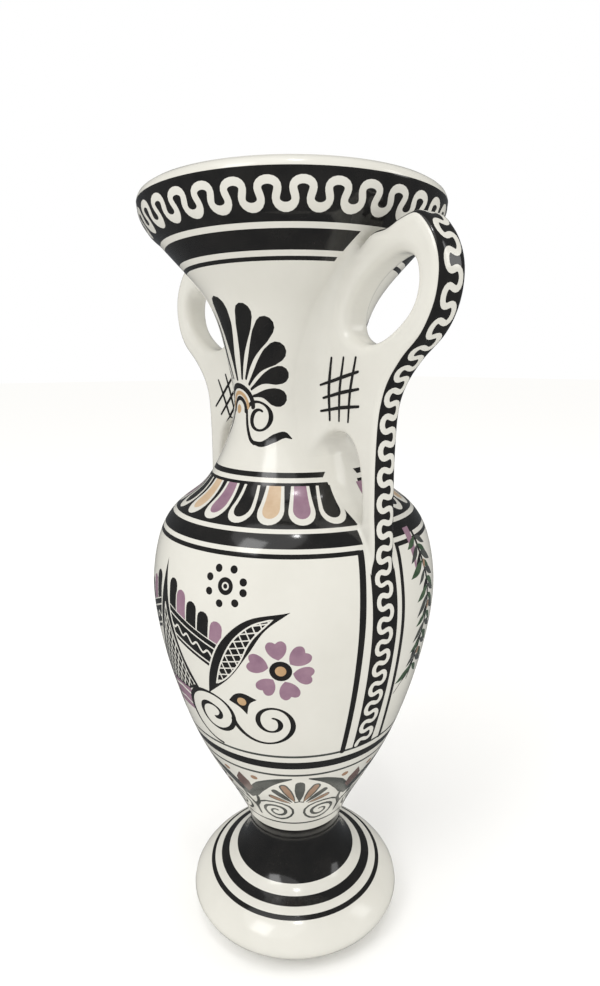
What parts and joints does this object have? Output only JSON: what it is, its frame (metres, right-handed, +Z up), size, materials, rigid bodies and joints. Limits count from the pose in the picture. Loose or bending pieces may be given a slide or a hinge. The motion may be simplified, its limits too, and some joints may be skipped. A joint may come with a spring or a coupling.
{
  "type": "amphora",
  "caption": "Footed amphora with a flared mouth, narrow neck and tall flat side handles, glazed white with black, purple and orange painted ornament.",
  "frame": {"origin": "on the table under the centre of the foot", "axes": "+Z up along the vessel's axis, handles on +X and -X, the front panel of the painting faces -Y"},
  "size_m": [0.1636, 0.1144, 0.3],
  "materials": {
    "cream_glaze": "high gloss glaze over painted ornament",
    "black_glaze": "high gloss black painted ornament"
  },
  "bodies": {
    "root": {"foot": "cream_glaze", "belly": "cream_glaze", "shoulder": "cream_glaze", "neck": "cream_glaze", "mouth": "cream_glaze", "rim": "cream_glaze", "handle_right": "cream_glaze", "handle_left": "cream_glaze"}
  },
  "joints": []
}
